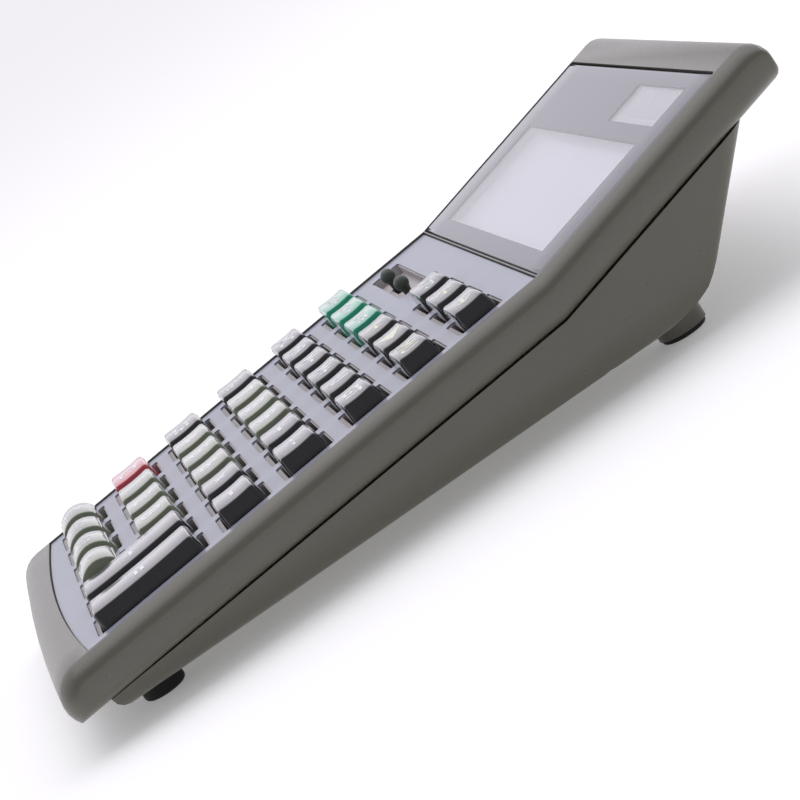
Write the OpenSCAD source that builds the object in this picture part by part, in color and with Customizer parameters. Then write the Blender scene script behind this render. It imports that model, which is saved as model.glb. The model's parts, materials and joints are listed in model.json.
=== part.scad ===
// Desktop calculator with a wedge-shaped case, a raised display and sprung keys.
// X runs to the right, Y runs from the nose to the back, Z runs up from the table.

/* [Case] */
// Width of the case across the side rails
case_w = 156; // [154:0.5:158]
// Width of the flat face between the side rails
face_w = 146; // [145:0.5:147]
// Length of the case from nose to back
case_l = 212.4; // [211:0.2:214]
// Height of the upper case's side band
band_h = 11.8; // [11:0.1:12.4]
// Slope of the key panel in degrees
panel_angle = 5.5; // [5:0.1:6]
// Slope of the display window in degrees
window_angle = 14.8; // [14:0.1:15.6]
// Distance from the middle of the case back to the line where the slope changes
bend_y = 35.2; // [34:0.2:36]
// Height of the line where the slope changes
bend_z = 33.8; // [33:0.2:35]
// Wall thickness of both half cases
wall = 2.2; // [1.8:0.1:2.6]

/* [Keys] */
// Distance between key columns
column_pitch = 23; // [22.6:0.1:23.4]
// Width of a key at the panel
key_w = 16.4; // [16:0.1:16.8]
// Length of a key in the three back rows
short_key_l = 10.3; // [9.8:0.1:10.6]
// Length of a key in the four front rows
long_key_l = 12; // [11.6:0.1:12.4]
// Height of a key's top above the panel
key_rise = 4.5; // [4:0.1:5]
// How far a key goes down
key_travel = 2; // [1:0.1:2.4]
// Gap between a key and the hole in the deck
key_gap = 0.4; // [0.3:0.05:0.5]

/* [Display] */
// Width of the liquid-crystal glass
lcd_w = 121; // [118:1:124]
// Length of the liquid-crystal glass
lcd_l = 37; // [35:1:38]
// Width of the solar cell
cell_w = 46; // [40:1:48]
// Length of the solar cell
cell_l = 12.5; // [10:0.5:12.5]

/* [Switches] */
// Diameter of a switch knob's ball
knob_d = 4; // [3.5:0.1:4.5]
// How far a switch knob slides
knob_travel = 8; // [6:0.5:8]

/* [Feet] */
// Diameter of the front feet
front_foot_d = 10.8; // [10:0.2:12]
// Diameter of the back pedestals
pedestal_d = 12.4; // [11:0.2:13]
// Distance from the middle of the case to a foot, across
foot_x = 55; // [50:1:58]

/* [Hidden] */
$fn = 48;

// Heights on the sloped faces, measured square to the slope from the rail's top line
panel_top = -0.6;
panel_t = 0.5;
panel_under = panel_top - panel_t;
deck_t = 3.2;
deck_under = panel_under - deck_t;
flange_gap = 0.3;
flange_t = 1;
flange_top = deck_under - flange_gap;
stem_end = flange_top - flange_t - 2;
dome_top = stem_end - 0.2;
dome_h = 3.4;
mat_top = dome_top - dome_h;
mat_t = 1.2;
board_top = mat_top - mat_t;
board_t = 1.6;
board_under = board_top - board_t;
window_t = 2;
window_top = -0.1;
window_pocket = -2.2;
lcd_top = deck_under - 0.1;
lcd_t = 2.2;

// Plan sizes of the sloped faces
seam_gap = 0.3;
face_l = 132.5;
face_sag = 3.4;
plate_half = face_w / 2 - 2 * seam_gap;
window_l = 60.3;
deck_w = 140;
deck_front = -127.5;
deck_back = -3;
board_back = -5;
lcd_v = 22.8;
cell_x = 38;
cell_v = 49.5;

// Room round each key in the panel's openings, with more of it in front of the key
opening_side = 0.8;
opening_end = 1.15;
opening_shift = 0.3;

// The switch tray, in panel coordinates
tray_x = [-64, -19];
tray_v = [-20.1, -11.3];
tray_depth = 2.2;
knob_rest_x = [-51, -30];
knob_v = -16.4;
neck_w = 2.2;

// Side outline of the case
nose_r = 7.8;
tail_r = 5.3;
tail_corner_r = 2;
nose_bow = 1.2;
rail_reach = (case_w - face_w) / 2;
roll_start = 24;
roll_steps = 8;
roll_depth = 0.66;

// Lower case
floor_z = 4.7;
parting_gap = 0.05;
trim_gap = 0.04;
floor_rise = 1.2;
lower_half_w = 75;
lower_front = -95.2;
front_r = 4.6;
back_r = 31;
back_slope = 47.5;
back_run = 28.2;
back_corner_r = 4;
back_foot_y = 64.7;
side_r = 9;

// Screws
screw_l = 16;
screw_r = 1.1;
screw_head_r = 2.4;
screw_head_h = 1.8;
case_screws_at = [[-46, -56, 8], [46, -56, 8], [-68, 38, 15.6], [68, 38, 15.6]];
board_screws_at = [[-23, -91.5], [23, -91.5], [-23, -55.3], [23, -55.3]];
board_screw_l = 7;

// Feet and battery
front_foot_y = -84.7;
back_foot_at = 59.5;
pad_t = 1.2;
battery_at = [20, 6];
cell_r = 10;
cell_t = 3.2;
door_size = [34, 30];
door_t = 1.6;
door_z = 5.6;
pocket_top = 7.2;
cell_floor = 8;

black = "#2b2b2e";
grey_green = "#7d8570";
green = "#00aa87";
red = "#cd505f";
olive = "#58564c";

// Key rows: distance from the bend down the panel, and key length
rows = [
    [-118.5, long_key_l], [-100.5, long_key_l], [-82.5, long_key_l], [-64.5, long_key_l],
    [-46.9, short_key_l], [-30.7, short_key_l], [-14.5, short_key_l]
];

// Keys: name, column from the left, first row and last row from the front, colour
keys = [
    ["key_0", 1, 1, 1, grey_green], ["key_00", 2, 1, 1, grey_green],
    ["key_000", 3, 1, 1, grey_green], ["key_point", 4, 1, 1, grey_green],
    ["key_clear", 1, 2, 2, red], ["key_1", 2, 2, 2, grey_green],
    ["key_2", 3, 2, 2, grey_green], ["key_3", 4, 2, 2, grey_green],
    ["key_plus", 5, 1, 2, black], ["key_equals", 6, 1, 2, black],
    ["key_clear_entry", 1, 3, 3, black], ["key_4", 2, 3, 3, grey_green],
    ["key_5", 3, 3, 3, grey_green], ["key_6", 4, 3, 3, grey_green],
    ["key_multiply", 5, 3, 3, black], ["key_minus", 6, 3, 3, black],
    ["key_percent", 1, 4, 4, black], ["key_7", 2, 4, 4, grey_green],
    ["key_8", 3, 4, 4, grey_green], ["key_9", 4, 4, 4, grey_green],
    ["key_divide", 5, 4, 4, black], ["key_sign", 6, 4, 4, black],
    ["key_memory_clear", 1, 5, 5, black], ["key_memory_recall", 2, 5, 5, black],
    ["key_memory_minus", 3, 5, 5, black], ["key_memory_plus", 4, 5, 5, black],
    ["key_root", 5, 5, 5, black], ["key_grand_total", 6, 5, 5, black],
    ["key_tax_minus", 1, 6, 6, green], ["key_tax_plus", 2, 6, 6, green],
    ["key_rate", 3, 6, 6, green], ["key_correct", 4, 6, 6, black],
    ["key_backspace", 5, 6, 6, black], ["key_mark_up", 6, 6, 6, black],
    ["key_replay", 4, 7, 7, black], ["key_check_back", 5, 7, 7, black],
    ["key_check_next", 6, 7, 7, black]
];

fixed_nodes = [
    "top_case", "bottom_case", "key_panel", "key_deck", "display_window", "lcd_glass",
    "lcd_holder", "solar_cell", "rubber_keypad", "main_board", "ribbon", "chip_blob",
    "switch_bodies", "coin_cell", "battery_contacts", "battery_door", "front_feet",
    "rear_foot_pads", "case_screws", "board_screws", "power_leads"
];
knob_nodes = ["decimal_switch_knob", "rounding_switch_knob"];

function column_x(column) = (column - 3.5) * column_pitch;
function key_v(k) = (rows[k[2] - 1][0] + rows[k[3] - 1][0]) / 2;
function key_l(k) = rows[k[3] - 1][0] - rows[k[2] - 1][0] + rows[k[2] - 1][1];
function is_domed(k) = k[3] == 1;

// Height of the rail's top line
function rail_z(y) = bend_z + (y - bend_y) * tan(y < bend_y ? panel_angle : window_angle);
function seam_z(y) = rail_z(y) - band_h;

// Distance down the panel at which a layer at height h lies straight above y
function panel_v(y, h) = (y - bend_y + h * sin(panel_angle)) / cos(panel_angle);
function arc(centre, r, from, to, steps) =
    [for (i = [0:steps]) let (a = from + (to - from) * i / steps) centre + r * [cos(a), sin(a)]];

nose_y = -case_l / 2 + nose_r;
nose_c = [nose_y, rail_z(nose_y) - nose_r / cos(panel_angle)];
tail_y = case_l / 2 - tail_r;
tail_c = [tail_y, rail_z(tail_y) - tail_r / cos(window_angle)];
corner_y = case_l / 2 - tail_corner_r;
corner_c = [corner_y, seam_z(corner_y) + tail_corner_r / cos(window_angle)];

// Closed side outline of the upper case, as [y, z]
nose_steps = 9;
upper_outline = concat(
    arc(nose_c, nose_r, 216, 90 + panel_angle, nose_steps),
    [[bend_y, bend_z]],
    arc(tail_c, tail_r, 90 + window_angle, 0, 6),
    arc(corner_c, tail_corner_r, 0, window_angle - 90, 3),
    [[bend_y, seam_z(bend_y)]]
);

// Middle line of the band, that the rails roll in towards
function band_middle(y) =
    let (held = min(max(y, nose_y), corner_y)) [held, rail_z(held) - band_h / 2];
function pulled_in(p, k) = p + (band_middle(p[0]) - p) * k;
function bowed(p, x) = p + [p[0] < nose_y ? nose_bow * pow(2 * x / face_w, 2) : 0, 0];
function section(x, k) =
    [for (p = reversed(upper_outline)) let (q = bowed(pulled_in(p, k), x)) [x, q[0], q[1]]];

// Stations across the case: [x, how far the outline is pulled in]
function rail_stations(side, reach, depth) =
    [for (i = [0:roll_steps])
        let (a = roll_start + (90 - roll_start) * i / roll_steps,
             across = (sin(a) - sin(roll_start)) / (1 - sin(roll_start)),
             into = (cos(roll_start) - cos(a)) / cos(roll_start))
        [side * (face_w / 2 + reach * across), depth * into]];
function reversed(list) = [for (i = [len(list) - 1:-1:0]) list[i]];
face_stations = [for (x = [-0.8:0.4:0.8]) [x * face_w / 2, 0]];
upper_stations = concat(
    reversed(rail_stations(-1, rail_reach, roll_depth)),
    face_stations,
    rail_stations(1, rail_reach, roll_depth)
);

// Solid through a list of rings with equally many points
// The outline bends at its first point and at the point called bend, so each end is closed by two convex halves
module loft(rings, bend) {
    n = len(rings[0]);
    last = len(rings) - 1;
    half_a = [for (j = [0:bend]) j];
    half_b = concat([for (j = [bend:n - 1]) j], [0]);
    polyhedron(
        points = [for (ring = rings) for (p = ring) p],
        faces = concat(
            [half_a, half_b],
            [for (i = [0:last - 1]) for (j = [0:n - 1]) for (half = [0, 1])
                let (a = i * n + j, b = i * n + (j + 1) % n, c = b + n, d = a + n)
                half == 0 ? [a, c, b] : [a, d, c]],
            [for (half = [half_a, half_b]) [for (j = reversed(half)) last * n + j]]
        )
    );
}

module on_panel() { translate([0, bend_y, bend_z]) rotate([panel_angle, 0, 0]) children(); }
module on_window() { translate([0, bend_y, bend_z]) rotate([window_angle, 0, 0]) children(); }

// Box from its low corner to its high corner
module block(low, high) { translate(low) cube(high - low); }

// Box centred in plan, from a low height to a high height
module plate(size, low, high) {
    translate([-size[0] / 2, -size[1] / 2, low]) cube([size[0], size[1], high - low]);
}

function round_rect(w, l, r, steps = 3) =
    [for (q = [0:3]) for (i = [0:steps])
        let (a = 90 * q + 90 * i / steps, sx = (q == 0 || q == 3) ? 1 : -1, sy = q < 2 ? 1 : -1)
        [sx * (w / 2 - r), sy * (l / 2 - r)] + r * [cos(a), sin(a)]];

// Outline of the silver panel, with its front edge bowed towards the user
function face_outline(grow) = concat(
    [[plate_half + grow, -seam_gap + grow], [-plate_half - grow, -seam_gap + grow]],
    [for (i = [-6:6]) [i / 6 * (plate_half + grow), -face_l - grow + face_sag * pow(i / 6, 2)]]
);

module cavity() {
    // The inner hollow keeps the top wall thick enough for the sunk panel and window
    inner_w = face_w / 2 - 1.6;
    top_drop = -deck_under;
    polygon_points = [
        [-case_l / 2 + 5, nose_c[1] - 3], [nose_y - 1, rail_z(nose_y) - top_drop / cos(panel_angle)],
        [bend_y, bend_z - top_drop / cos(panel_angle)],
        [tail_y, rail_z(tail_y) - top_drop / cos(window_angle)],
        [tail_y + 1.8, seam_z(tail_y) + wall + 1.2],
        [bend_y, seam_z(bend_y) + wall], [nose_y - 1, seam_z(nose_y) + wall]
    ];
    translate([-inner_w, 0, 0]) rotate([90, 0, 90]) linear_extrude(2 * inner_w) polygon(polygon_points);
    // Open underside, above the lower case
    rotate([90, 0, 90]) translate([0, 0, -inner_w]) linear_extrude(2 * inner_w)
        polygon([[-92.4, seam_z(-92.4) - 2], [-92.4, seam_z(-92.4) + 4], [bend_y, seam_z(bend_y) + 4],
            [90.4, seam_z(90.4) + 4], [90.4, seam_z(90.4) - 2], [bend_y, seam_z(bend_y) - 2]]);
}

module top_case() {
    color(olive) difference() {
        union() {
            difference() {
                loft([for (s = upper_stations) section(s[0], s[1])], len(upper_outline) - nose_steps - 2);
                cavity();
            }
            for (s = case_screws_at) if (s[1] > bend_y)
                translate([s[0], s[1], 24.2]) cylinder(r = 3.6, h = rail_z(s[1]) - 3.4 - 24.2);
        }
        // Pocket for the key panel and the opening for the deck
        on_panel() translate([0, 0, panel_under]) linear_extrude(6) polygon(face_outline(seam_gap));
        on_panel() block([-deck_w / 2 - seam_gap, deck_front - seam_gap, deck_under - 3],
            [deck_w / 2 + seam_gap, deck_back + seam_gap, panel_under + 1]);
        // Pocket for the window and the openings behind it
        on_window() translate([0, seam_gap + window_l / 2, window_pocket]) linear_extrude(9)
            polygon(round_rect(2 * plate_half + 2 * seam_gap, window_l, 1.2));
        on_window() translate([0, lcd_v, 0]) plate([lcd_w - 3, lcd_l - 3], -8, 0);
        on_window() translate([cell_x, cell_v, 0]) plate([cell_w + 1, cell_l + 1], -3.9, 0);
        on_window() translate([cell_x - 12, cell_v, 0]) plate([6, 3], -8, 0);
        for (s = case_screws_at) if (s[1] > bend_y)
            translate([s[0], s[1], 20]) cylinder(r = screw_r + 0.05, h = s[2] + screw_l + 1 - 20);
    }
}

// Lower case: its side view and its front view, both extruded, meet in one solid
back_c = [back_foot_y - back_r * tan(back_slope / 2), floor_z + floor_rise + back_r];
front_c = [lower_front + front_r, floor_z + front_r];
side_c = [lower_half_w - side_r, floor_z + side_r];

// Side view, moved in by inset, with its top edge at lid above the seam
function lower_side_view(inset, lid) =
    let (foot = arc(back_c, back_r - inset, -90, back_slope - 90, 8),
         top_end = foot[8] + back_run * [cos(back_slope), sin(back_slope)],
         front = front_c[0] - front_r + inset)
    concat(arc(front_c, front_r - inset, 180, 270, 4), foot,
        [top_end, [top_end[0], seam_z(top_end[0]) + lid], [bend_y, seam_z(bend_y) + lid],
            [front, seam_z(front) + lid]]);

function lower_front_view(inset) =
    let (right = arc(side_c, side_r - inset, -90, 0, 6), rim = [lower_half_w - inset, 60])
    concat(right, [rim, [-rim[0], rim[1]]], [for (p = reversed(right)) [-p[0], p[1]]]);

// View along the slanted back wall, which rounds its two upright corners
function lower_back_view(inset) =
    let (half_w = lower_half_w - inset + trim_gap, r = back_corner_r - inset / 2,
         face = back_foot_y * sin(back_slope) - (floor_z + floor_rise) * cos(back_slope) - inset + trim_gap,
         left = arc([-half_w + r, face - r], r, 90, 180, 5))
    concat(reversed(left), [for (p = left) [-p[0], p[1]]], [[half_w, -case_l], [-half_w, -case_l]]);

module lower_solid(inset, lid) {
    intersection() {
        rotate([back_slope - 90, 0, 0]) translate([0, 0, -case_l]) linear_extrude(2 * case_l)
            polygon(lower_back_view(inset));
        rotate([90, 0, 90]) translate([0, 0, -case_w / 2]) linear_extrude(case_w)
            polygon(lower_side_view(inset, lid));
        rotate([90, 0, 0]) translate([0, 0, -case_l / 2]) linear_extrude(case_l)
            polygon(lower_front_view(inset));
    }
}

module bottom_case() {
    color(olive) difference() {
        union() {
            difference() {
                lower_solid(0, -parting_gap);
                lower_solid(wall, 3);
            }
            for (side = [-1, 1]) {
                translate([side * foot_x, back_foot_at, pad_t]) cylinder(d = pedestal_d, h = 9);
                // Hooks that hold the front edge under the upper case
                translate([side * 30 - 6, lower_front + wall + 0.9, 6]) cube([12, 1.6, 6.6]);
            }
            for (s = case_screws_at)
                translate([s[0], s[1], floor_z + 2]) cylinder(r = 3.5, h = s[2] + 3 - floor_z - 2);
            translate([battery_at[0], battery_at[1], pocket_top - 1]) cylinder(r = cell_r + 2.2, h = 5);
        }
        for (s = case_screws_at) {
            translate([s[0], s[1], 0]) cylinder(r = screw_head_r + 0.3, h = s[2]);
            translate([s[0], s[1], 0]) cylinder(r = screw_r + 0.3, h = s[2] + 8);
        }
        for (side = [-1, 1])
            translate([side * foot_x, front_foot_y, 0]) cylinder(d = front_foot_d + 0.3, h = floor_z + 0.6);
        translate([battery_at[0], battery_at[1], 0]) {
            plate([door_size[0] + 0.5, door_size[1] + 0.5], 0, pocket_top);
            cylinder(r = cell_r + 0.4, h = 14);
        }
    }
}

module key_panel() {
    color("#c8cbd6") on_panel() translate([0, 0, panel_under]) linear_extrude(panel_t) difference() {
        polygon(face_outline(0));
        for (k = keys) translate([column_x(k[1]), key_v(k) - opening_shift])
            polygon(round_rect(key_w + 2 * opening_side, key_l(k) + 2 * opening_end, 0.8));
        translate([(tray_x[0] + tray_x[1]) / 2, (tray_v[0] + tray_v[1]) / 2])
            polygon(round_rect(tray_x[1] - tray_x[0], tray_v[1] - tray_v[0], 0.8));
    }
}

module key_deck() {
    color("#aaa5a5") difference() {
        union() {
            on_panel() difference() {
                block([-deck_w / 2, deck_front, deck_under], [deck_w / 2, deck_back, panel_under]);
                for (k = keys) translate([column_x(k[1]), key_v(k), 0])
                    plate([key_w + 2 * key_gap, key_l(k) + 2 * key_gap], deck_under - 1, 0);
                block([tray_x[0] + 0.4, tray_v[0] + 0.4, panel_under - tray_depth],
                    [tray_x[1] - 0.4, tray_v[1] - 0.4, 0]);
                for (x = knob_rest_x)
                    block([x - neck_w / 2 - 0.5, knob_v - 1.5, deck_under - 1],
                        [x + knob_travel + neck_w / 2 + 0.5, knob_v + 1.5, 0]);
            }
            on_panel() for (s = board_screws_at)
                translate([s[0], s[1], board_top]) cylinder(r = 2.8, h = deck_under - board_top + 0.5);
            for (s = case_screws_at) if (s[1] < bend_y)
                translate([s[0], s[1], 13]) cylinder(r = 2.6, h = rail_z(s[1]) - 3.6 - 13);
        }
        on_panel() for (s = board_screws_at)
            translate([s[0], s[1], board_top - 1]) cylinder(r = screw_r + 0.05, h = board_screw_l);
        for (s = case_screws_at) if (s[1] < bend_y)
            translate([s[0], s[1], 10]) cylinder(r = screw_r + 0.05, h = rail_z(s[1]) - 2.6 - 10);
    }
}

module display_window() {
    color("#3c3e46", 0.6) on_window() translate([0, seam_gap + window_l / 2, window_top - window_t])
        linear_extrude(window_t) polygon(round_rect(2 * plate_half, window_l - 2 * seam_gap, 1));
}

module lcd_glass() {
    color("#bcc2b4") on_window() translate([0, lcd_v, 0]) plate([lcd_w, lcd_l], lcd_top - lcd_t, lcd_top);
}

module lcd_holder() {
    color("#d8d8d4") on_window() difference() {
        translate([0, lcd_v, 0]) plate([lcd_w + 5, lcd_l + 5], lcd_top - lcd_t - 2.4, lcd_top);
        translate([0, lcd_v, 0]) plate([lcd_w + 0.6, lcd_l + 0.6], lcd_top - lcd_t - 0.1, 0);
        // Opening at the front for the ribbon
        translate([0, lcd_v - lcd_l / 2, 0]) plate([84, 14], -20, 0);
        translate([0, lcd_v + 3, 0]) plate([lcd_w - 12, lcd_l - 16], -20, 0);
    }
}

module solar_cell() {
    color("#3a2f38") on_window() translate([cell_x, cell_v, 0]) plate([cell_w, cell_l], -3.8, -2.4);
}

module rubber_keypad() {
    color("#9aa0a0") on_panel() difference() {
        union() {
            block([-69, deck_front + 1, board_top], [69, -23.4, mat_top]);
            block([1, -24, board_top], [69, -9.2, mat_top]);
            for (k = keys) for (r = [k[2]:k[3]])
                translate([column_x(k[1]), rows[r - 1][0], mat_top])
                    cylinder(r1 = 4.8, r2 = 3.6, h = dome_h);
        }
        for (k = keys) for (r = [k[2]:k[3]])
            translate([column_x(k[1]), rows[r - 1][0], board_top - 1])
                cylinder(r1 = 4.2, r2 = 2.8, h = dome_h + 0.8);
        for (s = board_screws_at) translate([s[0], s[1], board_top - 1]) cylinder(r = 3.1, h = 4);
        for (s = case_screws_at) if (s[1] < bend_y)
            translate([s[0], panel_v(s[1], board_top), board_top - 1]) cylinder(r = 3.6, h = 4);
    }
}

module main_board() {
    color("#2f6b45") on_panel() difference() {
        block([-69, deck_front + 1, board_under], [69, board_back, board_top]);
        for (s = board_screws_at) translate([s[0], s[1], board_under - 1]) cylinder(r = 1.3, h = 4);
        for (s = case_screws_at) if (s[1] < bend_y)
            translate([s[0], panel_v(s[1], board_under), board_under - 1]) cylinder(r = 4.8, h = 4);
    }
}

// Flexible strip that joins the glass to the board, drawn as a bent band
ribbon_w = 60;
ribbon_t = 0.3;
ribbon_line = [[27.8, 20.97], [30.6, 21.24], [33, 22.8], [37, 26.2], [40, 28.1], [43.4, 29]];

module ribbon() {
    color("#c9b27a") rotate([90, 0, 90]) translate([0, 0, -ribbon_w / 2]) linear_extrude(ribbon_w)
        polygon(concat(ribbon_line, [for (p = reversed(ribbon_line)) p - [0, ribbon_t]]));
}

module chip_blob() {
    color(black) on_panel() translate([-12, -60, board_under]) mirror([0, 0, 1]) {
        cylinder(r = 7, h = 0.6);
        translate([0, 0, 0.6]) cylinder(r1 = 7, r2 = 4, h = 1);
    }
}

module switch_bodies() {
    color("#1e1e20") on_panel() for (x = knob_rest_x) difference() {
        block([x - 4, knob_v - 3, board_top], [x + knob_travel + 4, knob_v + 3, -8.2]);
        block([x - neck_w / 2 - 0.4, knob_v - 1.5, -11.4],
            [x + knob_travel + neck_w / 2 + 0.4, knob_v + 1.5, -7]);
    }
}

module switch_knob(x) {
    color("#555c55") on_panel() translate([x, knob_v, 0]) {
        translate([0, 0, 0.6]) sphere(d = knob_d);
        plate([neck_w, 2], -10.8, 0.4);
        plate([6.4, 4.4], deck_under - 1.3, deck_under - 0.4);
    }
}

module coin_cell() {
    color("#c0c2c4") translate([battery_at[0], battery_at[1], cell_floor]) {
        cylinder(r = cell_r - 0.8, h = 0.4);
        translate([0, 0, 0.4]) cylinder(r = cell_r, h = cell_t - 0.4);
    }
}

module battery_contacts() {
    color("#c9a54a") translate([battery_at[0], battery_at[1], cell_floor]) {
        // Leaf that presses on the top of the cell
        translate([-3, -16, cell_t + 1.7]) cube([6, 22, 0.4]);
        translate([-3, 0, cell_t + 0.05]) cube([6, 6, 0.4]);
        translate([-3, 5.6, cell_t + 0.05]) cube([6, 0.4, 2.05]);
        // Foot that carries the leaf down to the floor
        translate([-3, -16, -0.1]) cube([6, 0.4, cell_t + 2.1]);
        // Clip with the opposite pole, beside the cup
        translate([13, -3, -0.1]) cube([0.4, 6, 6]);
        translate([13, -3, 5.5]) cube([5, 6, 0.4]);
    }
}

module battery_door() {
    color(olive) translate([battery_at[0], battery_at[1], 0]) {
        difference() {
            plate(door_size, door_z, door_z + door_t - 0.1);
            // Grip grooves for a fingertip
            for (i = [-1:1]) translate([0, door_size[1] / 2 - 5 + 2 * i, 0])
                plate([12, 0.9], door_z - 1, door_z + 0.5);
        }
        difference() {
            translate([0, 0, door_z + 0.6]) cylinder(r = 7, h = cell_floor - door_z - 0.65);
            translate([0, 0, door_z]) cylinder(r = 5.6, h = 20);
        }
    }
}

module front_feet() {
    color("#222222") for (side = [-1, 1]) translate([side * foot_x, front_foot_y, 0]) {
        cylinder(d1 = front_foot_d - 1.2, d2 = front_foot_d, h = 0.6);
        translate([0, 0, 0.6]) cylinder(d = front_foot_d, h = floor_z - 0.05);
    }
}

module rear_foot_pads() {
    color("#222222") for (side = [-1, 1]) translate([side * foot_x, back_foot_at, 0]) {
        cylinder(d1 = pedestal_d - 1.8, d2 = pedestal_d - 1, h = 0.4);
        translate([0, 0, 0.4]) cylinder(d = pedestal_d - 1, h = pad_t - 0.4);
    }
}

// Pan-head screw with a cross slot, its head below z = 0 and its shank above
module screw(length) {
    difference() {
        translate([0, 0, -screw_head_h])
            cylinder(r1 = screw_head_r - 0.5, r2 = screw_head_r, h = screw_head_h);
        for (turn = [0, 90]) rotate([0, 0, turn]) plate([2.8, 0.6], -screw_head_h - 1, -screw_head_h + 0.8);
    }
    cylinder(r = screw_r, h = length - 1.2);
    translate([0, 0, length - 1.2]) cylinder(r1 = screw_r, r2 = 0.4, h = 1.2);
}

module case_screws() {
    color("#b8babc") for (s = case_screws_at) translate(s) screw(screw_l - (s[1] < bend_y ? 2 : 0));
}

module board_screws() {
    color("#b8babc") on_panel() for (s = board_screws_at)
        translate([s[0], s[1], board_under]) screw(board_screw_l);
}

// Insulated wire through a list of points
module wire(points) {
    d = 1.1;
    for (i = [0:len(points) - 2]) let (run = points[i + 1] - points[i], l = norm(run))
        translate(points[i]) rotate([0, acos(run[2] / l), atan2(run[1], run[0])]) cylinder(d = d, h = l);
    for (i = [1:len(points) - 2]) translate(points[i]) sphere(d = d + 0.3);
}

module power_leads() {
    color("#b03030") {
        wire([[26, 84.1, 42.1], [26, 84.8, 37.2], [50, 62, 26], [60, 36, 17.6], [60, 27, 17],
            [60, 26, 18.6]]);
        wire([[20, -8, 13.95], [26, -9, 14.1], [36, -12, 12.8], [52, -6, 13], [54, -4, 15.6]]);
        wire([[35.5, 6, 14.6], [45, 9.4, 14.9], [54.2, 12.6, 15.2], [56, 16.2, 17.4]]);
    }
}

// One key: cap, retaining flange and stem, in panel coordinates about its own centre
module key_body(k) {
    l = key_l(k);
    base = panel_top;
    top = panel_top + key_rise;
    dome = is_domed(k) ? 1.1 : -0.3;
    edge_drop = is_domed(k) ? 1.3 : 0;
    half = l / 2;
    front_in = 0.4;
    back_in = 1.3;
    top_mid = (back_in - front_in) / -2;
    top_half = half - (front_in + back_in) / 2;
    side_view = concat(
        [[half, base], [half, flange_top], [-half, flange_top], [-half, base]],
        [for (i = [-4:4])
            [top_mid + top_half * i / 4, top - edge_drop + (dome + edge_drop) * (1 - pow(i / 4, 2))]]
    );
    intersection() {
        translate([-key_w, 0, 0]) rotate([90, 0, 90]) linear_extrude(2 * key_w) polygon(side_view);
        rotate([90, 0, 0]) translate([0, 0, -l]) linear_extrude(2 * l) polygon([
            [-key_w / 2, flange_top], [key_w / 2, flange_top], [key_w / 2, base],
            [key_w / 2 - 0.7, top + 3], [-key_w / 2 + 0.7, top + 3], [-key_w / 2, base]]);
        translate([0, 0, flange_top]) linear_extrude(30) polygon(round_rect(key_w, l, 0.9));
    }
    plate([key_w + 1.8, l + 1.6], flange_top - flange_t, flange_top);
    for (r = [k[2]:k[3]]) translate([0, rows[r - 1][0] - key_v(k), 0])
        plate([6, 5], stem_end, flange_top - flange_t);
}

module key_cap(k) { color(k[4]) on_panel() translate([column_x(k[1]), key_v(k), 0]) key_body(k); }

top_case();
bottom_case();
key_panel();
key_deck();
display_window();
lcd_glass();
lcd_holder();
solar_cell();
rubber_keypad();
main_board();
ribbon();
chip_blob();
switch_bodies();
coin_cell();
battery_contacts();
battery_door();
front_feet();
rear_foot_pads();
case_screws();
board_screws();
power_leads();
for (i = [0, 1]) switch_knob(knob_rest_x[i]);
for (k = keys) key_cap(k);
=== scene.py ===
import json
import math

import bpy
from mathutils import Matrix, Vector

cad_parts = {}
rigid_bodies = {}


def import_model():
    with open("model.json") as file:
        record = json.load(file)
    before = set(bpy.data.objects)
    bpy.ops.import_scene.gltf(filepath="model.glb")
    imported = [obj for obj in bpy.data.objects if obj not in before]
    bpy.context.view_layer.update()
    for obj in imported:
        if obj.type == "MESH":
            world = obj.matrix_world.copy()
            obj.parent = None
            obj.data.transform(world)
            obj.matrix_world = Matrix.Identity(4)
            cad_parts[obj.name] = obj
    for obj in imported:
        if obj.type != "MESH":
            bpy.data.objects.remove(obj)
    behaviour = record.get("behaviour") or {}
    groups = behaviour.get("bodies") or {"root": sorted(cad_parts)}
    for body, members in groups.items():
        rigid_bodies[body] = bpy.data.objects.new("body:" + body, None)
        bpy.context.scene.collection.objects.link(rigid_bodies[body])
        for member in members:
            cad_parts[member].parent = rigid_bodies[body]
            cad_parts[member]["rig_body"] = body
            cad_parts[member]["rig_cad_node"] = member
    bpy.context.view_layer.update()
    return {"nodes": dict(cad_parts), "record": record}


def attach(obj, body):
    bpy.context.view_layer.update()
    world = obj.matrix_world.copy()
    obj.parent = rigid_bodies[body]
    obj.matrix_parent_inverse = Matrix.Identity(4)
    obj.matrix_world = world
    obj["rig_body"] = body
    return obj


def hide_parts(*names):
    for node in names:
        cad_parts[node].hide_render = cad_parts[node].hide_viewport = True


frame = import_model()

print("frame loaded:", len(frame["nodes"]), "nodes")

mm = 0.001

# the two slopes of the upper case meet on one line; heights are measured square to the slope
slopes = {
    "bendY": 35.2,        # mm from the middle of the case to the line
    "bendZ": 33.8,        # mm above the table
    "panelAngle": 5.5,    # degrees
    "windowAngle": 14.8,  # degrees
}


def slopePoint(angle, x, v, h):
    a = math.radians(angle)
    return Vector((x * mm, (slopes["bendY"] + v * math.cos(a) - h * math.sin(a)) * mm,
                   (slopes["bendZ"] + v * math.sin(a) + h * math.cos(a)) * mm))


def slopeMatrix(angle, x=0, v=0, h=0):
    return Matrix.Translation(slopePoint(angle, x, v, h)) @ Matrix.Rotation(math.radians(angle), 4, "X")


# lowest and highest x, v and h of a CAD node, in mm along a slope
def slopeSpan(node, angle):
    toSlope = slopeMatrix(angle).inverted()
    points = [toSlope @ v.co / mm for v in frame["nodes"][node].data.vertices]
    return [min(c) for c in zip(*points)], [max(c) for c in zip(*points)]


# materials

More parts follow.
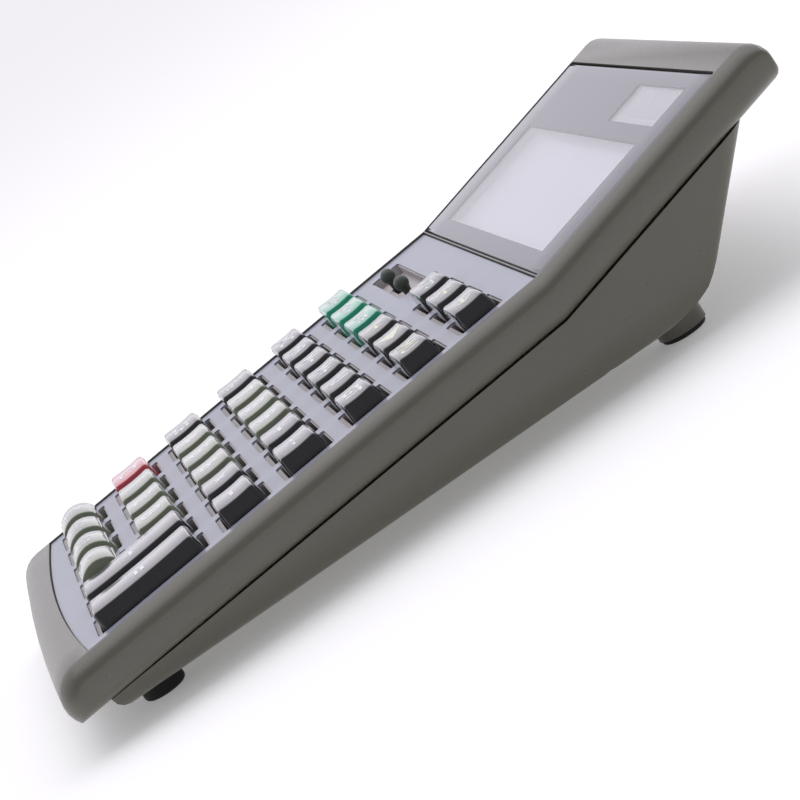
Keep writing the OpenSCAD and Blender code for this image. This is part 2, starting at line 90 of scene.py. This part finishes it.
def linear(hexColour):
    parts = [int(hexColour[i:i + 2], 16) / 255 for i in (1, 3, 5)]
    return [c / 12.92 if c <= 0.04045 else ((c + 0.055) / 1.055) ** 2.4 for c in parts] + [1.0]


def addNode(tree, kind, settings=(), links=()):
    node = tree.nodes.new(kind)
    for name, value in dict(settings).items():
        if name in node.inputs:
            node.inputs[name].default_value = value
        else:
            setattr(node, name, value)
    for name, source in dict(links).items():
        tree.links.new(source, node.inputs[name])
    return node


# a fresh material with its shader, and object coordinates for its patterns
def startMaterial(name, shaderSettings):
    material = bpy.data.materials.new(name)
    material.use_nodes = True
    tree = material.node_tree
    shader = tree.nodes["Principled BSDF"]
    for key, value in shaderSettings.items():
        shader.inputs[key].default_value = value
    return material, tree, shader, addNode(tree, "ShaderNodeTexCoord").outputs["Object"]


# moulded or coated plastic: slow clouds of colour, a fine grain in the height and in the gloss
def mouldedFinish(name, colour, roughness, grain, depth, clouding=0.08, glossSpread=0.06, **more):
    material, tree, shader, place = startMaterial(name, {"Roughness": roughness, **more})
    base = linear(colour)
    cloud = addNode(tree, "ShaderNodeTexNoise", {"Scale": 1 / (28 * mm), "Detail": 3.0}, {"Vector": place})
    tint = addNode(tree, "ShaderNodeMix", {"data_type": "RGBA"}, {0: cloud.outputs[0]})
    tint.inputs[6].default_value = [c * (1 - clouding) for c in base[:3]] + [1]
    tint.inputs[7].default_value = [min(1, c * (1 + clouding)) for c in base[:3]] + [1]
    tree.links.new(tint.outputs[2], shader.inputs["Base Color"])
    fine = addNode(tree, "ShaderNodeTexNoise", {"Scale": 1 / (grain * mm), "Detail": 2.0}, {"Vector": place})
    gloss = addNode(tree, "ShaderNodeMapRange", {
        "To Min": roughness - glossSpread, "To Max": roughness + glossSpread}, {"Value": fine.outputs[0]})
    tree.links.new(gloss.outputs[0], shader.inputs["Roughness"])
    bump = addNode(tree, "ShaderNodeBump", {"Strength": 0.5, "Distance": depth * mm},
                   {"Height": fine.outputs[0]})
    tree.links.new(bump.outputs[0], shader.inputs["Normal"])
    return material


# dark olive ABS, spark-eroded mould: a low sheen that breaks up a little
oliveAbs = mouldedFinish("oliveAbsSparkTexture", "#605e53", 0.3, 0.9, 0.02, clouding=0.05, IOR=1.55)
# aluminium-pigment paint on the key plate: pale, with a soft sparkle
silverPaint = mouldedFinish("silverPigmentPaint", "#a0a4b2", 0.34, 0.7, 0.01, clouding=0.03)
# satin grey ABS of the key guide
guideAbs = mouldedFinish("greyGuideAbs", "#b8b2b2", 0.5, 0.8, 0.02)
# acrylic with a smoked print behind it: deep and glossy
smokedAcrylic = mouldedFinish("smokedPrintedAcrylic", "#4e505c", 0.1, 6, 0.004, clouding=0.04,
                              glossSpread=0.02)
whiteAbs = mouldedFinish("whiteHolderAbs", "#d8d8d4", 0.5, 0.8, 0.02)
siliconeRubber = mouldedFinish("siliconeKeypad", "#9aa0a0", 0.75, 0.7, 0.03)
blackEpoxy = mouldedFinish("blackEpoxyResin", "#1e1e20", 0.25, 2.5, 0.03)
footRubber = mouldedFinish("blackFootRubber", "#1c1c1b", 0.78, 0.6, 0.04, clouding=0.15)
polyesterFilm = mouldedFinish("polyesterFlexFilm", "#c9b27a", 0.3, 1.5, 0.01)
wirePvc = mouldedFinish("redPvcInsulation", "#b03030", 0.35, 0.8, 0.01)
knobAbs = mouldedFinish("greyGreenKnobAbs", "#4c534b", 0.4, 0.6, 0.015)
screwSteel = mouldedFinish("nickelPlatedSteel", "#c0c2c4", 0.3, 0.5, 0.01, Metallic=1.0)
springBrass = mouldedFinish("platedSpringBrass", "#c9a54a", 0.32, 0.6, 0.01, Metallic=1.0)
legendInk = mouldedFinish("whiteScreenInk", "#eef1f4", 0.35, 0.5, 0.004, clouding=0.02)
creamInk = mouldedFinish("creamScreenInk", "#e9ecd2", 0.35, 0.5, 0.004, clouding=0.02)

# ABS keys under a thick clear lacquer: the lacquer gives a second, sharper reflection
lacquer = {"glossSpread": 0.04, "Coat Weight": 0.85, "Coat Roughness": 0.09, "Coat IOR": 1.5, "IOR": 1.5}
keyFinishes = {
    "key_black": mouldedFinish("blackLacqueredAbs", "#1b1b1d", 0.2, 3, 0.012, **lacquer),
    "key_grey_green": mouldedFinish("greyGreenLacqueredAbs", "#78816a", 0.2, 3, 0.012, **lacquer),
    "key_green": mouldedFinish("greenLacqueredAbs", "#00a982", 0.2, 3, 0.012, **lacquer),
    "key_red": mouldedFinish("redLacqueredAbs", "#c93f50", 0.2, 3, 0.012, **lacquer),
}


# clear acrylic of the two windows: light goes through to what lies behind
def clearAcrylicFinish():
    material, tree, shader, place = startMaterial("clearAcrylic", {
        "Base Color": linear("#eef0f6"), "Roughness": 0.03, "IOR": 1.49, "Transmission Weight": 1.0})
    haze = addNode(tree, "ShaderNodeTexNoise", {"Scale": 1 / (9 * mm), "Detail": 2.0}, {"Vector": place})
    gloss = addNode(tree, "ShaderNodeMapRange", {"To Min": 0.02, "To Max": 0.05}, {"Value": haze.outputs[0]})
    tree.links.new(gloss.outputs[0], shader.inputs["Roughness"])
    return material


# amorphous silicon on glass: brown-black cells with fine gaps, 9.2 mm apart
def solarFinish():
    material, tree, shader, place = startMaterial("amorphousSolarGlass", {"Roughness": 0.12, "IOR": 1.5})
    bricks = addNode(tree, "ShaderNodeTexBrick", {
        "offset": 0.0, "Scale": 1.0, "Mortar Size": 0.25 * mm, "Brick Width": 9.2 * mm, "Row Height": 40 * mm,
        "Color1": linear("#43363d"), "Color2": linear("#3d3238"), "Mortar": linear("#9a8f88")},
        {"Vector": place})
    tree.links.new(bricks.outputs["Color"], shader.inputs["Base Color"])
    return material


# solder mask over rows of copper tracks, 1.6 mm apart
def boardFinish():
    material, tree, shader, place = startMaterial("greenSolderMask", {"Roughness": 0.35})
    tracks = addNode(tree, "ShaderNodeTexBrick", {
        "offset": 0.5, "Scale": 1.0, "Mortar Size": 0.3 * mm, "Brick Width": 14 * mm, "Row Height": 1.6 * mm,
        "Color1": linear("#2f6b45"), "Color2": linear("#2a613e"), "Mortar": linear("#3f8257")},
        {"Vector": place})
    tree.links.new(tracks.outputs["Color"], shader.inputs["Base Color"])
    bump = addNode(tree, "ShaderNodeBump", {"Strength": 0.3, "Distance": 0.02 * mm},
                   {"Height": tracks.outputs["Fac"]})
    tree.links.new(bump.outputs[0], shader.inputs["Normal"])
    return material


clearAcrylic = clearAcrylicFinish()
solarGlass = solarFinish()
solderMask = boardFinish()
# liquid-crystal glass under a satin polariser film
polariser = mouldedFinish("polariserFilmOverGlass", "#d9dce2", 0.22, 1.2, 0.004, clouding=0.03)
print("materials made")


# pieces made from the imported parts

def selectOnly(piece):
    bpy.ops.object.select_all(action="DESELECT")
    piece.select_set(True)
    bpy.context.view_layer.objects.active = piece


def setMaterial(piece, *materials):
    piece.data.materials.clear()
    for material in materials:
        piece.data.materials.append(material)


def finishPiece(piece, name, body, materials, nodes=()):
    piece.name = piece.data.name = name
    setMaterial(piece, *materials)
    if nodes:
        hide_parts(*nodes)
    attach(piece, body)
    return piece


copyCare = {
    "mergeWithin": 0.002,   # mm
    "flatWithin": 0.4,      # degrees, faces this close to one plane become one face
    "bevelFrom": 40,        # degrees, sharper edges are softened
}


# a cleaned copy of a CAD node, with soft edges and smooth rounds
def cleanCopy(node, name, material, smoothAngle=30, bevel=0, flatten=True):
    source = frame["nodes"][node]
    selectOnly(source)
    bpy.ops.object.duplicate()
    piece = bpy.context.active_object
    bpy.ops.object.parent_clear(type="CLEAR_KEEP_TRANSFORM")
    del piece["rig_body"], piece["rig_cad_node"]
    bpy.ops.mesh.customdata_custom_splitnormals_clear()
    bpy.ops.object.mode_set(mode="EDIT")
    bpy.ops.mesh.select_all(action="SELECT")
    bpy.ops.mesh.remove_doubles(threshold=copyCare["mergeWithin"] * mm)
    if flatten:
        bpy.ops.mesh.dissolve_limited(angle_limit=math.radians(copyCare["flatWithin"]))
    bpy.ops.object.mode_set(mode="OBJECT")
    if bevel:
        edge = piece.modifiers.new("softEdge", "BEVEL")
        edge.width, edge.segments = bevel * mm, 2
        edge.limit_method, edge.angle_limit = "ANGLE", math.radians(copyCare["bevelFrom"])
        bpy.ops.object.modifier_apply(modifier=edge.name)
    bpy.ops.object.shade_smooth_by_angle(angle=math.radians(smoothAngle))
    if flatten:
        weighted = piece.modifiers.new("flatFaces", "WEIGHTED_NORMAL")
        weighted.keep_sharp = True
        bpy.ops.object.modifier_apply(modifier=weighted.name)
    return finishPiece(piece, name, "case", [material], [node])


cleanCopy("top_case", "upperShell", oliveAbs, smoothAngle=19.5, flatten=False)
cleanCopy("bottom_case", "lowerShell", oliveAbs, smoothAngle=30, flatten=False)
cleanCopy("key_panel", "keyPlate", silverPaint)
cleanCopy("key_deck", "keyGuide", guideAbs)
cleanCopy("battery_door", "batteryLid", oliveAbs, bevel=0.15)
cleanCopy("front_feet", "frontFeet", footRubber, smoothAngle=25, bevel=0.4)
cleanCopy("rear_foot_pads", "rearPads", footRubber, smoothAngle=25, bevel=0.15)
cleanCopy("case_screws", "caseScrews", screwSteel, smoothAngle=25, bevel=0.08)
print("shells and feet made")

# inner parts keep their CAD shape
innerMaterials = {
    "lcd_glass": polariser, "lcd_holder": whiteAbs, "solar_cell": solarGlass, "rubber_keypad": siliconeRubber,
    "main_board": solderMask, "ribbon": polyesterFilm, "chip_blob": blackEpoxy, "switch_bodies": blackEpoxy,
    "coin_cell": screwSteel, "battery_contacts": springBrass, "board_screws": screwSteel,
    "power_leads": wirePvc,
}
for node, material in innerMaterials.items():
    setMaterial(frame["nodes"][node], material)

# display window

windowShape = {
    "cornerRadius": 1.0,   # mm
    "edgeRadius": 0.25,    # mm, polished round at the top edge
    "lcdOpening": (-58.2, 59.2, 6.2, 38.6),    # mm: left, right, front, back along the slope
    "solarOpening": (16.2, 60.2, 43.8, 55.4),
}


# cuts the whole active mesh square to one axis, at places in mm
def cutAlong(axis, places):
    normal = [1 if i == axis else 0 for i in range(3)]
    for place in places:
        bpy.ops.mesh.select_all(action="SELECT")
        bpy.ops.mesh.bisect(plane_co=[place * mm if i == axis else 0 for i in range(3)], plane_no=normal)


# leaves edit mode with nothing selected
def clearSelection(piece):
    bpy.ops.object.mode_set(mode="OBJECT")
    mesh = piece.data
    for part in (mesh.vertices, mesh.edges, mesh.polygons):
        part.foreach_set("select", [False] * len(part))
    return mesh


# selects edges of the active mesh for which test(first point, second point) in mm is true
def selectEdges(piece, test):
    mesh = clearSelection(piece)
    for edge in mesh.edges:
        first, second = (mesh.vertices[i].co / mm for i in edge.vertices)
        if test(first, second):
            edge.select = True
            for i in edge.vertices:
                mesh.vertices[i].select = True
    bpy.ops.object.mode_set(mode="EDIT")
    bpy.ops.mesh.select_mode(type="EDGE")


# the same for faces, by middle and normal
def selectFaces(piece, test):
    mesh = clearSelection(piece)
    for face in mesh.polygons:
        face.select = test(face.center / mm, face.normal)
    bpy.ops.object.mode_set(mode="EDIT")
    bpy.ops.mesh.select_mode(type="FACE")


def selectPoints(piece, test):
    mesh = clearSelection(piece)
    for point in mesh.vertices:
        point.select = test(point.co / mm)
    bpy.ops.object.mode_set(mode="EDIT")
    bpy.ops.mesh.select_mode(type="VERT")


def startBlock(low, high):
    bpy.ops.object.select_all(action="DESELECT")
    middle = [(a + b) / 2 * mm for a, b in zip(low, high)]
    bpy.ops.mesh.primitive_cube_add(size=1, location=middle)
    bpy.ops.transform.resize(value=[(b - a) * mm for a, b in zip(low, high)])
    bpy.ops.object.transform_apply(location=True, rotation=True, scale=True)
    return bpy.context.active_object


def smoothAndPlace(piece, smoothAngle, matrix):
    bpy.ops.object.mode_set(mode="OBJECT")
    selectOnly(piece)
    bpy.ops.object.shade_smooth_by_angle(angle=math.radians(smoothAngle))
    piece.matrix_world = matrix
    bpy.ops.object.transform_apply(location=True, rotation=True, scale=True)


def makeWindow():
    low, high = slopeSpan("display_window", slopes["windowAngle"])
    piece = startBlock(low, high)
    openings = (windowShape["lcdOpening"], windowShape["solarOpening"])
    halfWide = high[0] - 0.1
    selectEdges(piece, lambda a, b: abs(a[2] - b[2]) > 1)
    bpy.ops.mesh.bevel(offset=windowShape["cornerRadius"] * mm, segments=4)
    selectEdges(piece, lambda a, b: a[2] > high[2] - 0.01 and b[2] > high[2] - 0.01)
    bpy.ops.mesh.bevel(offset=windowShape["edgeRadius"] * mm, segments=2)
    cutAlong(0, [side for opening in openings for side in opening[:2]])
    cutAlong(1, [end for opening in openings for end in opening[2:]])
    selectFaces(piece, lambda c, n: abs(n[2]) > 0.9 and abs(c[0]) < halfWide and any(
        o[0] < c[0] < o[1] and o[2] < c[1] < o[3] for o in openings))
    piece.data.materials.append(smokedAcrylic)
    piece.data.materials.append(clearAcrylic)
    piece.active_material_index = 1
    bpy.ops.object.material_slot_assign()
    smoothAndPlace(piece, 30, slopeMatrix(slopes["windowAngle"]))
    marks = [face.material_index for face in piece.data.polygons]
    finishPiece(piece, "displayLens", "case", [smokedAcrylic, clearAcrylic],
                ["display_window"])
    piece.data.polygons.foreach_set("material_index", marks)


makeWindow()
print("display window made")

# keys

keyShape = {
    "guideRoom": 0.8,     # mm that the flange stands out at each side, 0.1 more across
    "panelTop": -0.6,     # mm, height of the silver plate
    "rise": 4.5,          # mm from the plate to the key's top
    "sideLean": 0.42,     # mm the sides lean in up to the top
    "frontLean": 0.4,     # mm
    "backLean": 1.3,      # mm
    "cornerRadius": 1.1,  # mm, upright corners
    "rimRadius": 0.45,    # mm, edge round the top
    "domeRise": 1.06,     # mm, front row
    "domeDrop": 1.3,      # mm, front row's ends
    "dish": -0.3,         # mm, all other rows
    "flangeHeight": 1.0,  # mm
    "stemWide": 6.0,      # mm
    "stemLong": 5.0,      # mm
    "slices": 6,          # strips along the top's curve, besides the two at its ends
    "endStrip": 2.2,      # mm, length of the strip at each end
}

legends = {
    "key_0": "0", "key_00": "00", "key_000": "000", "key_point": ".", "key_clear": "C", "key_1": "1",
    "key_2": "2", "key_3": "3", "key_plus": "+", "key_equals": "=", "key_clear_entry": "CE", "key_4": "4",
    "key_5": "5", "key_6": "6", "key_multiply": "×", "key_minus": "−", "key_percent": "%", "key_7": "7",
    "key_8": "8", "key_9": "9", "key_divide": "÷", "key_sign": "+/−", "key_memory_clear": "MC",
    "key_memory_recall": "MR", "key_memory_minus": "M−", "key_memory_plus": "M+", "key_root": "√",
    "key_grand_total": "GT", "key_tax_minus": "TAX−", "key_tax_plus": "TAX+", "key_rate": "RATE",
    "key_correct": "←", "key_backspace": "▶", "key_mark_up": "MU", "key_replay": "AUTO",
    "key_check_back": "←", "key_check_next": "→",
}
creamLegends = ("key_correct", "key_backspace", "key_mark_up", "key_check_back", "key_check_next")
legendSizes = {1: 8.0, 2: 6.4, 3: 5.2, 4: 4.2}   # mm, by how many signs it has
legendShape = {
    "weight": 0.12,      # mm, added to each side of a stroke
    "widest": 11,        # mm, a longer word is set smaller
    "strip": 0.45,       # mm, length of the strips that bend over the key's curve
    "strips": 14,
    "inkHeight": 0.03,   # mm above the key's top
}
subparts = frame["record"]["subparts"]
keySlots = {row["node"]: row["material_slot"] for row in subparts if row["node"] in legends}


# height of a key's top above the plate's zero line, at a share t of its length, -1 in front and 1 at the back
def topHeight(domed, t):
    top = keyShape["panelTop"] + keyShape["rise"]
    if domed:
        return top - keyShape["domeDrop"] + (keyShape["domeRise"] + keyShape["domeDrop"]) * (1 - t * t)
    return top + keyShape["dish"] * (1 - t * t)


# how far along the key that is, since the front and back lean in by different amounts
def topPlace(length, t):
    front, back = -length / 2 + keyShape["frontLean"], length / 2 - keyShape["backLean"]
    return (front + back) / 2 + (back - front) / 2 * t


# one key at the plate's zero point, from which the others are copied
def makeKeyShape(name, wide, length, flangeTop, stemEnd, domed, stemPlaces):
    low = (-wide / 2, -length / 2, flangeTop)
    high = (wide / 2, length / 2, keyShape["panelTop"] + keyShape["rise"])
    piece = startBlock(low, high)
    bpy.ops.object.mode_set(mode="EDIT")
    reach = 1 - 2 * keyShape["endStrip"] / length
    between = [reach * (2 * i / keyShape["slices"] - 1) for i in range(keyShape["slices"] + 1)]
    stations = [-1, *between, 1]
    cutAlong(1, [t * length / 2 for t in stations[1:-1]])
    for t in stations:
        selectPoints(piece, lambda p: p[2] > high[2] - 0.01 and abs(p[1] - t * length / 2) < 0.01)
        move = (0, topPlace(length, t) - t * length / 2, topHeight(domed, t) - high[2])
        bpy.ops.transform.translate(value=[m * mm for m in move])
    topMiddle = topPlace(length, 0) * mm
    lowTop = high[2] - keyShape["domeDrop"] - 0.5
    selectPoints(piece, lambda p: p[2] > lowTop)
    bpy.ops.transform.resize(value=((wide / 2 - keyShape["sideLean"]) / (wide / 2), 1, 1),
                             center_override=(0, topMiddle, 0))
    # rounded upright corners, then the round edge of the top
    nearEnd = keyShape["backLean"] + 0.2
    selectEdges(piece, lambda a, b: abs(a[2] - b[2]) > 2 and abs(a[0]) > wide / 2 - 1
                and abs(b[1]) > length / 2 - nearEnd and abs(abs(a[1]) - length / 2) < nearEnd)
    bpy.ops.mesh.bevel(offset=keyShape["cornerRadius"] * mm, segments=4)
    selectFaces(piece, lambda c, n: n[2] > 0.6 and c[2] > 0)
    bpy.ops.mesh.region_to_loop()
    bpy.ops.mesh.bevel(offset=keyShape["rimRadius"] * mm, segments=3)
    # flange and stems below the plate
    selectFaces(piece, lambda c, n: n[2] < -0.9)
    bpy.ops.mesh.extrude_region_move()
    room = keyShape["guideRoom"]
    grown = ((wide / 2 + room + 0.1) / (wide / 2), (length / 2 + room) / (length / 2), 1)
    bpy.ops.transform.resize(value=grown)
    bpy.ops.mesh.extrude_region_move(TRANSFORM_OT_translate={"value": (0, 0, -keyShape["flangeHeight"] * mm)})
    bpy.ops.object.mode_set(mode="OBJECT")
    stems = []
    for place in stemPlaces:
        stem = startBlock((-keyShape["stemWide"] / 2, place - keyShape["stemLong"] / 2, stemEnd),
                          (keyShape["stemWide"] / 2, place + keyShape["stemLong"] / 2,
                           flangeTop - keyShape["flangeHeight"] - 0.01))
        bpy.ops.object.mode_set(mode="EDIT")
        bpy.ops.mesh.select_all(action="SELECT")
        bpy.ops.mesh.bevel(offset=0.3 * mm, segments=2)
        bpy.ops.object.mode_set(mode="OBJECT")
        stems.append(stem)
    bpy.ops.object.select_all(action="DESELECT")
    for part in [*stems, piece]:
        part.select_set(True)
    bpy.context.view_layer.objects.active = piece
    bpy.ops.object.join()
    bpy.ops.object.shade_smooth_by_angle(angle=math.radians(32))
    piece.name = name
    return piece


def makeLegend(node, text, domed, length, matrix, ink):
    bpy.ops.object.select_all(action="DESELECT")
    bpy.ops.object.text_add(location=(0, 0, 0))
    piece = bpy.context.active_object
    letters = piece.data
    letters.body = text
    letters.align_x, letters.align_y = "CENTER", "CENTER"
    letters.size = legendSizes[len(text)] * mm
    letters.offset = legendShape["weight"] * mm
    letters.resolution_u = 3
    bpy.ops.object.convert(target="MESH")
    piece = bpy.context.active_object
    across = [p.co.x for p in piece.data.vertices]
    along = [p.co.y for p in piece.data.vertices]
    middleX, middleY = (max(across) + min(across)) / 2, (max(along) + min(along)) / 2
    share = min(1, legendShape["widest"] * mm / (max(across) - min(across)))
    middle = topPlace(length, 0)
    for p in piece.data.vertices:
        p.co = Vector(((p.co.x - middleX) * share, (p.co.y - middleY) * share + middle * mm, 0))
    bpy.ops.object.mode_set(mode="EDIT")
    reach = legendShape["strips"] // 2
    cutAlong(1, [middle + legendShape["strip"] * i for i in range(-reach, reach + 1)])
    bpy.ops.object.mode_set(mode="OBJECT")
    for p in piece.data.vertices:   # laid on the key's curve, one ink thickness above it
        t = (p.co.y / mm - middle) / (topPlace(length, 1) - middle)
        p.co.z = (topHeight(domed, t) + legendShape["inkHeight"]) * mm
    piece.matrix_world = matrix
    bpy.ops.object.transform_apply(location=True, rotation=True, scale=True)
    return finishPiece(piece, "legend_" + node, node, [ink])


keyShapes = {}
for node, legend in legends.items():
    low, high = slopeSpan(node, slopes["panelAngle"])
    length = high[1] - low[1] - 2 * keyShape["guideRoom"]
    wide = high[0] - low[0] - 2 * (keyShape["guideRoom"] + 0.1)
    domed = high[2] > keyShape["panelTop"] + keyShape["rise"] + 0.5
    kind = (round(length, 1), domed)
    if kind not in keyShapes:
        stemPlaces = (-9, 9) if length > 20 else (0,)
        flangeTop = low[2] + 2 + keyShape["flangeHeight"]
        keyShapes[kind] = makeKeyShape("keyShape", wide, length, flangeTop, low[2], domed, stemPlaces)
    master = keyShapes[kind]
    selectOnly(master)
    bpy.ops.object.duplicate()
    key = bpy.context.active_object
    matrix = slopeMatrix(slopes["panelAngle"], (low[0] + high[0]) / 2, (low[1] + high[1]) / 2)
    key.matrix_world = matrix
    bpy.ops.object.transform_apply(location=True, rotation=True, scale=True)
    finishPiece(key, "cap_" + node, node, [keyFinishes[keySlots[node]]], [node])
    makeLegend(node, legend, domed, length, matrix, creamInk if node in creamLegends else legendInk)
for master in keyShapes.values():
    bpy.data.objects.remove(master)
print("keys made:", len(legends))

# switch knobs

knobShape = {
    "ballDiameter": 4.0,   # mm
    "ballHeight": 0.6,     # mm, middle of the ball above the plate's zero line
    "plateLow": (-3.2, -2.2, -5.6),     # mm, slide plate under the guide, its low corner
    "plateHigh": (3.2, 2.2, -4.7),
    "stalkLow": (-1.1, -1.0, -10.8),    # mm, stalk into the switch
    "stalkHigh": (1.1, 1.0, -5.61),
    "soften": 0.15,        # mm, edges of the plate and the stalk
}


def makeKnob(node):
    low, high = slopeSpan(node, slopes["panelAngle"])
    x, v = (low[0] + high[0]) / 2, (low[1] + high[1]) / 2
    bpy.ops.object.select_all(action="DESELECT")
    radius = knobShape["ballDiameter"] / 2 * mm
    bpy.ops.mesh.primitive_uv_sphere_add(segments=32, ring_count=20, radius=radius,
                                         location=(0, 0, knobShape["ballHeight"] * mm))
    piece = bpy.context.active_object
    bpy.ops.object.transform_apply(location=True, rotation=True, scale=True)
    # the ball's lower end runs out into the neck
    selectFaces(piece, lambda c, n: c[2] < knobShape["ballHeight"] - 1.45)
    bpy.ops.mesh.delete(type="FACE")
    selectPoints(piece, lambda p: p[2] < knobShape["ballHeight"] - 1.3)
    bpy.ops.mesh.extrude_region_move(TRANSFORM_OT_translate={"value": (0, 0, -1.0 * mm)})
    bpy.ops.transform.resize(value=(0.8, 0.8, 1))
    bpy.ops.mesh.extrude_region_move(TRANSFORM_OT_translate={"value": (0, 0, -3.2 * mm)})
    bpy.ops.mesh.edge_face_add()
    bpy.ops.mesh.select_all(action="SELECT")
    bpy.ops.mesh.normals_make_consistent(inside=False)
    bpy.ops.object.mode_set(mode="OBJECT")
    plate = startBlock(knobShape["plateLow"], knobShape["plateHigh"])
    stalk = startBlock(knobShape["stalkLow"], knobShape["stalkHigh"])
    for part in (plate, stalk):
        selectOnly(part)
        bpy.ops.object.mode_set(mode="EDIT")
        bpy.ops.mesh.select_all(action="SELECT")
        bpy.ops.mesh.bevel(offset=knobShape["soften"] * mm, segments=2)
        bpy.ops.object.mode_set(mode="OBJECT")
    bpy.ops.object.select_all(action="DESELECT")
    for part in (plate, stalk, piece):
        part.select_set(True)
    bpy.context.view_layer.objects.active = piece
    bpy.ops.object.join()
    smoothAndPlace(piece, 40, slopeMatrix(slopes["panelAngle"], x, v))
    finishPiece(piece, "ball_" + node, node, [knobAbs], [node])


for node in ("decimal_switch_knob", "rounding_switch_knob"):
    makeKnob(node)
print("knobs made")

# stage, light and camera

studio = {
    "floorColour": "#f4f4f4",
    "skyTint": "#faf7ff",
    "brightSide": 1.15,         # sky brightness towards -X
    "dimSide": 0.3,             # and towards +X
    "floorGlow": 0.22,          # light the floor gives off itself, as a light table does
    "topLight": (1.6, 7.0),     # m across, watts
}

bpy.ops.object.select_all(action="DESELECT")
bpy.ops.mesh.primitive_plane_add(size=24, location=(-6, 0, 0))
floor = bpy.context.active_object
floor.name = "floor"
floorPaint, floorTree, floorShader, floorPlace = startMaterial("paleStudioFloor", {
    "Roughness": 0.85, "Emission Color": linear("#ffffff"), "Emission Strength": studio["floorGlow"]})
floorCloud = addNode(floorTree, "ShaderNodeTexNoise", {"Scale": 0.5, "Detail": 2.0}, {"Vector": floorPlace})
floorTint = addNode(floorTree, "ShaderNodeMix", {"data_type": "RGBA"}, {0: floorCloud.outputs[0]})
floorTint.inputs[6].default_value = linear(studio["floorColour"])
floorTint.inputs[7].default_value = linear("#f8f8f8")
floorTree.links.new(floorTint.outputs[2], floorShader.inputs["Base Color"])
setMaterial(floor, floorPaint)

world = bpy.data.worlds.new("studioWorld")
bpy.context.scene.world = world
world.use_nodes = True
skyTree = world.node_tree
skyPlace = addNode(skyTree, "ShaderNodeTexCoord").outputs["Generated"]
skyAxis = addNode(skyTree, "ShaderNodeSeparateXYZ", {}, {"Vector": skyPlace})
skyLevel = addNode(skyTree, "ShaderNodeMapRange", {
    "interpolation_type": "SMOOTHSTEP", "From Min": -0.8, "From Max": 0.8,
    "To Min": studio["brightSide"], "To Max": studio["dimSide"]}, {"Value": skyAxis.outputs["X"]})
skyTree.links.new(skyLevel.outputs[0], skyTree.nodes["Background"].inputs["Strength"])
skyTree.nodes["Background"].inputs["Color"].default_value = linear(studio["skyTint"])


def addSoftbox(name, size, power, place, target):
    data = bpy.data.lights.new(name, "AREA")
    data.shape, data.size, data.energy = "SQUARE", size, power
    lamp = bpy.data.objects.new(name, data)
    bpy.context.scene.collection.objects.link(lamp)
    lamp.location = place
    lamp.rotation_euler = (Vector(target) - Vector(place)).to_track_quat("-Z", "Y").to_euler()


addSoftbox("topSoftbox", *studio["topLight"], (-0.2, 0.1, 1.5), (0, 0, 0))

view = {
    "lens": 142.65,                        # mm on a 36 mm sensor
    "place": (0.761, -0.055, 0.163),       # m
    "forward": (-0.9789, 0.0706, -0.1918),
    "right": (0.1658, 0.8229, -0.5434),
}
forward = Vector(view["forward"]).normalized()
right = (Vector(view["right"]) - forward * forward.dot(Vector(view["right"]))).normalized()
up = right.cross(forward)
cameraData = bpy.data.cameras.new("camera")
cameraData.lens, cameraData.sensor_width = view["lens"], 36
cameraData.clip_start, cameraData.clip_end = 0.01, 60
camera = bpy.data.objects.new("camera", cameraData)
bpy.context.scene.collection.objects.link(camera)
camera.matrix_world = Matrix.Translation(view["place"]) @ Matrix((right, up, -forward)).transposed().to_4x4()
bpy.context.scene.camera = camera
bpy.context.scene.view_settings.view_transform = "Standard"
print("stage and camera set")
